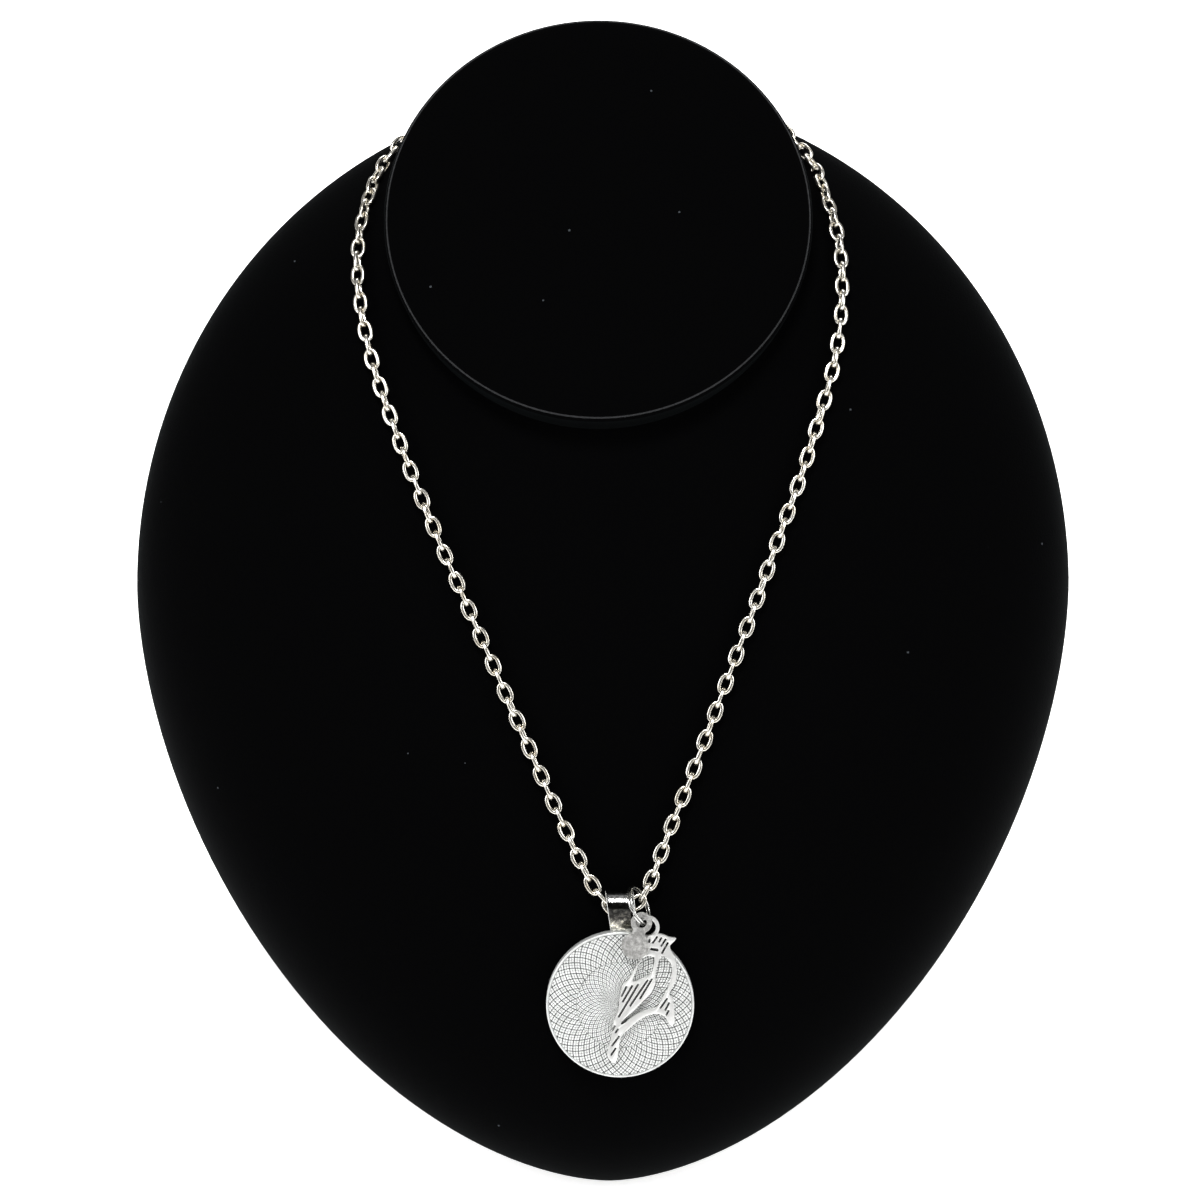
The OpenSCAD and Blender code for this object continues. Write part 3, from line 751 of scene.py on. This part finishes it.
# Split ring: one wire in two turns, which steps from one turn to the next half way along
RING_R, RING_WIRE, RING_STEP, RING_TURN, RING_TIP = 3.7, 0.46, 0.54, math.radians(68), math.radians(-20)
RING_AT = np.array([6.0, -60.9, 35.6])
RING_START, RING_POINTS, RING_SIDES = math.radians(200), 220, 12
STEP_ANGLE = 0.7
TIP_POINTS, TIP_SIZE = 3, 0.55


def ring_axes():
    """Across the ring, along it and through it."""
    across = np.array([math.cos(RING_TURN), 0, -math.sin(RING_TURN)])
    lean = np.array([math.sin(RING_TURN), 0, math.cos(RING_TURN)])
    along = np.array([0, 1.0, 0]) * math.cos(RING_TIP) + lean * math.sin(RING_TIP)
    return across, along, np.cross(across, along)


def split_ring(b):
    across, along, axis = ring_axes()
    n = RING_POINTS
    phi = np.linspace(0, 4 * math.pi, n) + RING_START
    jog = np.clip((phi - phi[0] - 2 * math.pi + STEP_ANGLE / 2) / STEP_ANGLE, 0, 1)
    jog = jog * jog * (3 - 2 * jog)
    z = (jog - 0.5) * RING_STEP
    line = np.outer(np.cos(phi), across) * RING_R + np.outer(np.sin(phi), along) * RING_R + np.outer(z, axis)
    radial = np.outer(np.cos(phi), across) + np.outer(np.sin(phi), along)
    taper = np.clip(np.minimum(np.arange(n), n - 1 - np.arange(n)) / TIP_POINTS, TIP_SIZE, 1)
    rows = []
    for i in range(n):
        for q in circle_angles(RING_SIDES):
            off = radial[i] * math.cos(q) + axis * math.sin(q)
            rows.append(RING_AT + line[i] + RING_WIRE / 2 * taper[i] * off)
    faces = grid_faces(n, RING_SIDES)
    faces.append(row_face(0, RING_SIDES))
    faces.append(row_face(n - 1, RING_SIDES)[::-1])
    b.add(rows, faces)


coil = built("split_ring_coil", split_ring, [ring_metal])
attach(coil, "root")
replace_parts(coil, "split_ring")

# Charms: the solids' own forms with rounded edges
ROUND_R, ROUND_STEPS, SHARP_DEG, FLAT_DEG = 0.1, 3, 50, 2
SLOT_REACH, LOOK_DEPTH = 0.7, 0.15
# In metres: how near vertices are welded, and how far off a face a look starts
WELD, OFF_FACE = 2e-6, 1e-5
REAR_FACING, SIDE_FACING = -0.5, 0.85


def darken_slots(bm):
    """Gives the second material, painted shade, to the rear and to the walls that face each other across a
    slot.
    """
    out = Vector(CHEST_ROT @ PEND_ROT @ np.array([0, 0, 1]))
    bm.normal_update()
    tree = BVHTree.FromBMesh(bm)
    for f in bm.faces:
        if f.normal.dot(out) < REAR_FACING:
            f.material_index = 1
        elif abs(f.normal.dot(out)) < SIDE_FACING:
            way = (f.normal - out * f.normal.dot(out)).normalized()
            start = f.calc_center_median() + way * OFF_FACE - out * LOOK_DEPTH * MM
            if tree.ray_cast(start, way, SLOT_REACH * MM)[0] is not None:
                f.material_index = 1


def rounded_copy(node, name, materials):
    me = frame["nodes"][node].data.copy()
    me.name = name
    me.materials.clear()
    for m in materials:
        me.materials.append(m)
    bm = bmesh.new()
    bm.from_mesh(me)
    bmesh.ops.remove_doubles(bm, verts=bm.verts, dist=WELD)
    bmesh.ops.dissolve_limit(bm, angle_limit=math.radians(FLAT_DEG), verts=bm.verts, edges=bm.edges)
    bmesh.ops.recalc_face_normals(bm, faces=bm.faces)
    sharp = [e for e in bm.edges if len(e.link_faces) == 2 and e.calc_face_angle(0) > math.radians(SHARP_DEG)]
    bmesh.ops.bevel(bm, geom=sharp, offset=ROUND_R * MM, offset_type="OFFSET", segments=ROUND_STEPS,
                    profile=0.5, affect="EDGES", clamp_overlap=True)
    if len(materials) > 1:
        darken_slots(bm)
    bm.to_mesh(me)
    bm.free()
    for p in me.polygons:
        p.use_smooth = True
    ob = new_object(name, me)
    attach(ob, "root")
    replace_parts(ob, node)
    return ob


tag = rounded_copy("round_tag", "frosted_tag", [frosted])
# The bird's second material is painted shade in its slots and on its rear
bird = rounded_copy("bird_charm", "cast_bird", [cast_metal, recess])

clasp = frame["nodes"]["clasp"]
for slot in clasp.material_slots:
    slot.material = chain_metal

# Floor and light
FLOOR_HALF = 4.0
floor_paint = shader("floor_paint", (0.9, 0.9, 0.9), roughness=0.8,
                     Emission_Color=(1, 1, 1, 1), Emission_Strength=0.82)
floor_mesh = bpy.data.meshes.new("floor")
corners = [(x * FLOOR_HALF, y * FLOOR_HALF, 0) for x, y in ((-1, -1), (1, -1), (1, 1), (-1, 1))]
floor_mesh.from_pydata(corners, [], [(0, 1, 2, 3)])
floor_mesh.materials.append(floor_paint)
floor = new_object("floor", floor_mesh)

studio = bpy.data.worlds.new("studio")
scene.world = studio
studio.use_nodes = True
studio.node_tree.nodes["Background"].inputs["Color"].default_value = (1, 1, 1, 1)
studio.node_tree.nodes["Background"].inputs["Strength"].default_value = 0.17


def area(name, at, target, size, power):
    light = bpy.data.lights.new(name, "AREA")
    light.shape = "RECTANGLE"
    light.size, light.size_y = size
    light.energy = power
    ob = new_object(name, light)
    ob.location = at
    ob.rotation_euler = (Vector(target) - Vector(at)).to_track_quat("-Z", "Y").to_euler()


area("key", (-0.12, -0.4, 1.1), (0, 0, 0.1), size=(0.35, 0.3), power=9.8)
area("side_left", (-0.55, -0.3, 0.4), (-0.1, -0.08, 0), size=(0.3, 0.4), power=2.2)
area("side_right", (0.55, -0.3, 0.4), (0.1, -0.08, 0), size=(0.3, 0.4), power=2.2)
area("rear", (0.1, 0.8, 0.9), (0, 0.3, 0), size=(0.9, 0.4), power=9)

# The photo's camera looks straight at the leaning chest. The photo is FRAME_W wide at the chest, in mm.
VIEW_CENTRE, VIEW_ROLL = [-0.61, -3.21, 30], math.radians(0.74)
CAMERA_FAR, FRAME_W, SENSOR_W = 1500, 226.8, 36
toward = CHEST_ROT @ np.array([0, 0, 1])
up_chest = CHEST_ROT @ np.array([0, 1, 0])
right = X * math.cos(VIEW_ROLL) - up_chest * math.sin(VIEW_ROLL)
up = up_chest * math.cos(VIEW_ROLL) + X * math.sin(VIEW_ROLL)
at = world([VIEW_CENTRE])[0] + toward * (CAMERA_FAR * MM)

lens = bpy.data.cameras.new("camera")
lens.sensor_width = SENSOR_W
lens.lens = SENSOR_W * CAMERA_FAR / FRAME_W
lens.clip_start, lens.clip_end = 0.01, 20
camera = new_object("camera", lens)
camera.matrix_world = Matrix([[right[k], up[k], toward[k], at[k]] for k in range(3)] + [[0, 0, 0, 1]])
scene.camera = camera
scene.view_settings.view_transform = "Standard"
